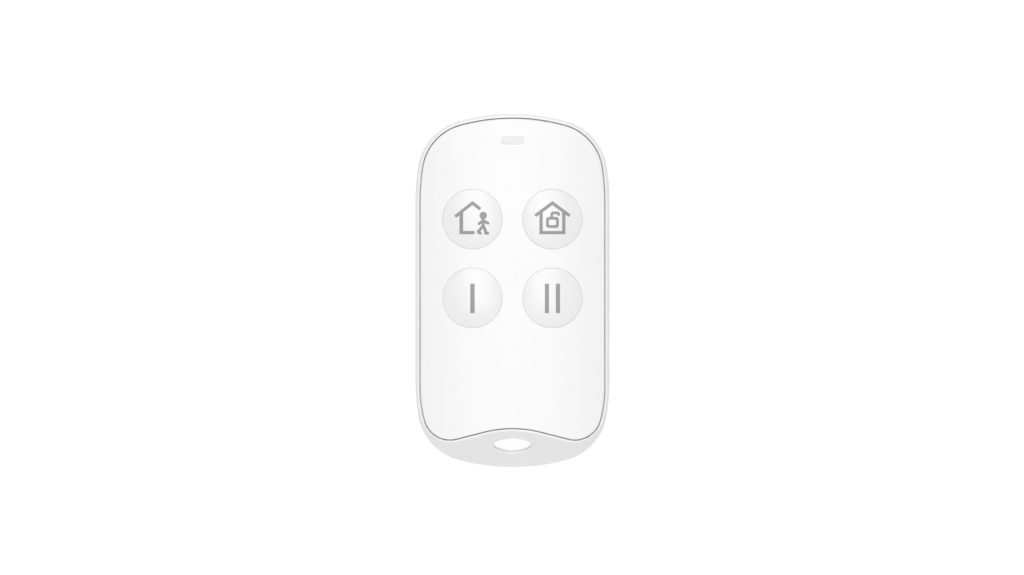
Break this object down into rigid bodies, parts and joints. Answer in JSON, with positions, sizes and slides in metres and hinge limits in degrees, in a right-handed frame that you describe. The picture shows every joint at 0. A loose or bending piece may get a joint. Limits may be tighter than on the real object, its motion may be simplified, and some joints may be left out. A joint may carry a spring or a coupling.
{
  "type": "alarm key fob",
  "caption": "Pocket remote for an alarm system: slim rounded housing with domed push buttons, a signal light and a lanyard eye.",
  "frame": {"origin": "middle of the outline, on the flat back face", "axes": "+Z out of the front face with the buttons, +Y towards the end with the signal light, +X to the right as the front is read"},
  "size_m": [0.0374, 0.0682, 0.0129],
  "materials": {
    "white_shell": "fine satin, moulded",
    "white_panel": "smooth satin, moulded",
    "white_button": "semi-gloss, moulded",
    "clear_light": "frosted light guide",
    "board_green": "solder mask",
    "chip_black": "moulded",
    "ceramic_tan": "fired ceramic",
    "resistor_dark": "coated",
    "nickel": "nickel plated",
    "steel": "stainless",
    "spring_steel": "spring temper",
    "gold_contact": "gold flash",
    "copper_wire": "tinned copper",
    "switch_black": "moulded",
    "plunger_white": "moulded",
    "seal_black": "moulded seal",
    "foam_grey": "soft foam",
    "led_body": "clear lens"
  },
  "bodies": {
    "housing": {"rear_cover": "white_shell", "body_frame": "white_shell", "front_cover": "white_panel", "light_guide": "clear_light", "circuit_board": "board_green", "signal_led": "led_body", "microcontroller": "chip_black", "radio_chip": "chip_black", "crystal": "nickel", "capacitors": "ceramic_tan", "resistors": "resistor_dark", "antenna": "copper_wire", "battery_can": "steel", "battery_gasket": "seal_black", "battery_cap": "steel", "battery_contact": "gold_contact", "battery_clip": "spring_steel", "battery_pad": "foam_grey", "board_screws": "nickel", "case_screws": "nickel", "away_switch_base": "switch_black", "away_switch_cover": "steel", "away_switch_dome": "spring_steel", "disarm_switch_base": "switch_black", "disarm_switch_cover": "steel", "disarm_switch_dome": "spring_steel", "function_1_switch_base": "switch_black", "function_1_switch_cover": "steel", "function_1_switch_dome": "spring_steel", "function_2_switch_base": "switch_black", "function_2_switch_cover": "steel", "function_2_switch_dome": "spring_steel"},
    "away": {"away_button": "white_button", "away_switch_plunger": "plunger_white"},
    "disarm": {"disarm_button": "white_button", "disarm_switch_plunger": "plunger_white"},
    "function_1": {"function_1_button": "white_button", "function_1_switch_plunger": "plunger_white"},
    "function_2": {"function_2_button": "white_button", "function_2_switch_plunger": "plunger_white"}
  },
  "joints": [
    {"name": "away_press", "type": "slide", "parent": "housing", "child": "away", "axis": [0, 0, -1], "range_m": [0, 0.0003], "stiffness_N_per_m": 400, "deforming": ["away_switch_dome"]},
    {"name": "disarm_press", "type": "slide", "parent": "housing", "child": "disarm", "axis": [0, 0, -1], "range_m": [0, 0.0003], "stiffness_N_per_m": 400, "deforming": ["disarm_switch_dome"]},
    {"name": "function_1_press", "type": "slide", "parent": "housing", "child": "function_1", "axis": [0, 0, -1], "range_m": [0, 0.0003], "stiffness_N_per_m": 400, "deforming": ["function_1_switch_dome"]},
    {"name": "function_2_press", "type": "slide", "parent": "housing", "child": "function_2", "axis": [0, 0, -1], "range_m": [0, 0.0003], "stiffness_N_per_m": 400, "deforming": ["function_2_switch_dome"]}
  ]
}
